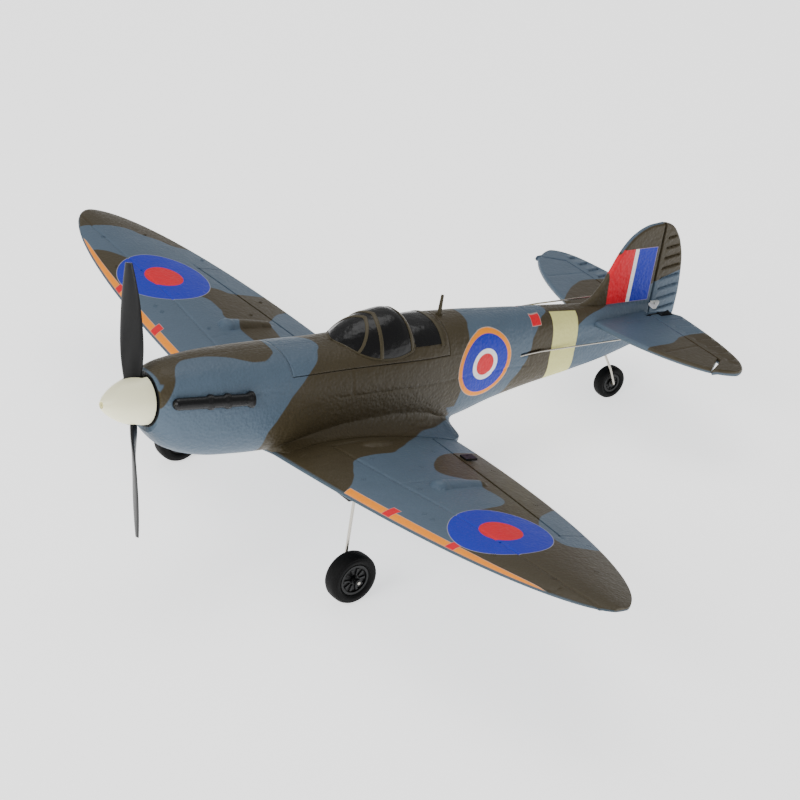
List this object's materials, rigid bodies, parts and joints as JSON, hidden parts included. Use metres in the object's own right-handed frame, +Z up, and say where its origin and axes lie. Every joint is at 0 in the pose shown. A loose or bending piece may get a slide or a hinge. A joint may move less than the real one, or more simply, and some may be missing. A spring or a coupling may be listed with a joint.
{
  "type": "radio-control warbird aeroplane",
  "caption": "Foam radio-control propeller aeroplane with an elliptical wing, wire undercarriage, moving control surfaces and a lift-off canopy hatch.",
  "frame": {"origin": "centre of the bounding box on the ground plane, standing on three wheels", "axes": "+X to the port wing tip, +Y towards the tail, +Z up; the nose points to -Y"},
  "size_m": [0.4476, 0.3405, 0.1536],
  "materials": {
    "battery_wrap": "satin",
    "black_nylon": "satin",
    "camouflaged_foam": "matte",
    "canopy_plastic": "gloss",
    "carbon_strip": "satin",
    "circuit_board": "satin",
    "exhaust_plastic": "gloss",
    "magnet": "gloss",
    "motor_can": "satin",
    "olive_foam": "matte",
    "servo_case": "satin",
    "spinner_plastic": "satin",
    "steel_wire": "satin",
    "tyre_rubber": "matte",
    "white_nylon": "satin"
  },
  "bodies": {
    "airframe": {"aileron_servo_port": "servo_case", "aileron_servo_starboard": "servo_case", "antenna_stub": "black_nylon", "axle_retainers": "black_nylon", "battery": "battery_wrap", "elevator_servo": "servo_case", "exhaust_port": "exhaust_plastic", "exhaust_starboard": "exhaust_plastic", "flight_board": "circuit_board", "fuselage_magnets": "magnet", "fuselage_port_half": "camouflaged_foam", "fuselage_starboard_half": "camouflaged_foam", "gear_block_port": "black_nylon", "gear_block_starboard": "black_nylon", "gearbox_frame": "black_nylon", "gearbox_screws": "motor_can", "main_leg_port": "steel_wire", "main_leg_starboard": "steel_wire", "motor": "motor_can", "rudder_servo": "servo_case", "shaft_bearings": "motor_can", "tail_leg": "steel_wire", "tailplane": "camouflaged_foam", "wing_port_panel": "camouflaged_foam", "wing_spar": "carbon_strip", "wing_starboard_panel": "camouflaged_foam"},
    "propeller": {"propeller": "black_nylon", "spinner": "spinner_plastic", "spinner_backplate": "black_nylon", "prop_nut": "motor_can", "prop_shaft": "steel_wire", "spur_gear": "white_nylon"},
    "motor_pinion": {"pinion": "motor_can"},
    "hatch": {"hatch_deck": "olive_foam", "canopy_glazing": "canopy_plastic", "hatch_magnets": "magnet"},
    "aileron_port": {"aileron_port": "camouflaged_foam", "aileron_horn_port": "black_nylon"},
    "aileron_starboard": {"aileron_starboard": "camouflaged_foam", "aileron_horn_starboard": "black_nylon"},
    "elevator": {"elevator_port": "camouflaged_foam", "elevator_starboard": "camouflaged_foam", "elevator_joiner": "black_nylon"},
    "rudder": {"rudder": "camouflaged_foam", "rudder_horn": "white_nylon"},
    "elevator_servo_arm": {"elevator_servo_arm": "white_nylon"},
    "rudder_servo_arm": {"rudder_servo_arm": "white_nylon"},
    "aileron_servo_arm_port": {"aileron_servo_arm_port": "white_nylon"},
    "aileron_servo_arm_starboard": {"aileron_servo_arm_starboard": "white_nylon"},
    "elevator_pushrod": {"elevator_pushrod": "steel_wire"},
    "rudder_pushrod": {"rudder_pushrod": "steel_wire"},
    "aileron_pushrod_port": {"aileron_pushrod_port": "steel_wire"},
    "aileron_pushrod_starboard": {"aileron_pushrod_starboard": "steel_wire"},
    "main_wheel_port": {"main_hub_port": "black_nylon", "main_tyre_port": "tyre_rubber"},
    "main_wheel_starboard": {"main_hub_starboard": "black_nylon", "main_tyre_starboard": "tyre_rubber"},
    "tail_wheel": {"tail_hub": "black_nylon", "tail_tyre": "tyre_rubber"}
  },
  "joints": [
    {"name": "propeller_spin", "type": "hinge", "parent": "airframe", "child": "propeller", "pos_m": [0, -0.15277, 0.0937], "axis": [0, 0.9792, -0.2028], "continuous": true},
    {"name": "pinion_spin", "type": "hinge", "parent": "airframe", "child": "motor_pinion", "pos_m": [0, -0.14321, 0.08069], "axis": [0, 0.9792, -0.2028], "continuous": true},
    {"name": "hatch_lift", "type": "slide", "parent": "airframe", "child": "hatch", "axis": [0, 0.2028, 0.9792], "range_m": [0, 0.04]},
    {"name": "aileron_port_hinge", "type": "hinge", "parent": "airframe", "child": "aileron_port", "pos_m": [0.05751, -0.0115, 0.03829], "axis": [0.9819, -0.1367, 0.1313], "range_deg": [-20, 20]},
    {"name": "aileron_starboard_hinge", "type": "hinge", "parent": "airframe", "child": "aileron_starboard", "pos_m": [-0.05751, -0.0115, 0.03829], "axis": [0.9819, 0.1367, -0.1313], "range_deg": [-20, 20]},
    {"name": "elevator_hinge", "type": "hinge", "parent": "airframe", "child": "elevator", "pos_m": [0.0076, 0.14462, 0.04344], "axis": [1, 0, 0], "range_deg": [-20, 20]},
    {"name": "rudder_hinge", "type": "hinge", "parent": "airframe", "child": "rudder", "pos_m": [0, 0.14965, 0.04801], "axis": [0, 0.2028, 0.9792], "range_deg": [-25, 25]},
    {"name": "elevator_servo_arm_pivot", "type": "hinge", "parent": "airframe", "child": "elevator_servo_arm", "pos_m": [0.0124, -0.00672, 0.06713], "axis": [1, 0, 0], "range_deg": [-20, 20]},
    {"name": "elevator_pushrod_pivot", "type": "hinge", "parent": "elevator_servo_arm", "child": "elevator_pushrod", "pos_m": [0.0124, -0.00865, 0.05783], "axis": [1, 0, 0], "range_deg": [-20, 20]},
    {"name": "rudder_servo_arm_pivot", "type": "hinge", "parent": "airframe", "child": "rudder_servo_arm", "pos_m": [-0.003, -0.04062, 0.07109], "axis": [0, 0.2028, 0.9792], "range_deg": [-25, 25]},
    {"name": "rudder_pushrod_pivot", "type": "hinge", "parent": "rudder_servo_arm", "child": "rudder_pushrod", "pos_m": [-0.0125, -0.04062, 0.07109], "axis": [0, 0.2028, 0.9792], "range_deg": [-25, 25]},
    {"name": "aileron_servo_arm_pivot_port", "type": "hinge", "parent": "airframe", "child": "aileron_servo_arm_port", "pos_m": [0.05073, -0.05209, 0.0467], "axis": [0.9819, -0.1367, 0.1313], "range_deg": [-20, 20]},
    {"name": "aileron_pushrod_pivot_port", "type": "hinge", "parent": "aileron_servo_arm_port", "child": "aileron_pushrod_port", "pos_m": [0.05168, -0.05416, 0.03748], "axis": [0.9819, -0.1367, 0.1313], "range_deg": [-20, 20]},
    {"name": "aileron_servo_arm_pivot_starboard", "type": "hinge", "parent": "airframe", "child": "aileron_servo_arm_starboard", "pos_m": [-0.05073, -0.05209, 0.0467], "axis": [0.9819, 0.1367, -0.1313], "range_deg": [-20, 20]},
    {"name": "aileron_pushrod_pivot_starboard", "type": "hinge", "parent": "aileron_servo_arm_starboard", "child": "aileron_pushrod_starboard", "pos_m": [-0.05168, -0.05416, 0.03748], "axis": [0.9819, 0.1367, -0.1313], "range_deg": [-20, 20]},
    {"name": "main_wheel_port_spin", "type": "hinge", "parent": "airframe", "child": "main_wheel_port", "pos_m": [0.0755, -0.08564, 0.0125], "axis": [1, 0, 0], "continuous": true},
    {"name": "main_wheel_starboard_spin", "type": "hinge", "parent": "airframe", "child": "main_wheel_starboard", "pos_m": [-0.0755, -0.08564, 0.0125], "axis": [1, 0, 0], "continuous": true},
    {"name": "tail_wheel_spin", "type": "hinge", "parent": "airframe", "child": "tail_wheel", "pos_m": [0, 0.12595, 0.0085], "axis": [1, 0, 0], "continuous": true}
  ],
  "couplings": [
    {"joint": "pinion_spin", "follows": "propeller_spin", "ratio": -5},
    {"joint": "aileron_starboard_hinge", "follows": "aileron_port_hinge", "ratio": -1},
    {"joint": "aileron_servo_arm_pivot_port", "follows": "aileron_port_hinge", "ratio": 1},
    {"joint": "aileron_pushrod_pivot_port", "follows": "aileron_port_hinge", "ratio": -1},
    {"joint": "aileron_servo_arm_pivot_starboard", "follows": "aileron_port_hinge", "ratio": -1},
    {"joint": "aileron_pushrod_pivot_starboard", "follows": "aileron_port_hinge", "ratio": 1},
    {"joint": "elevator_servo_arm_pivot", "follows": "elevator_hinge", "ratio": 1},
    {"joint": "elevator_pushrod_pivot", "follows": "elevator_hinge", "ratio": -1},
    {"joint": "rudder_servo_arm_pivot", "follows": "rudder_hinge", "ratio": 1},
    {"joint": "rudder_pushrod_pivot", "follows": "rudder_hinge", "ratio": -1}
  ]
}
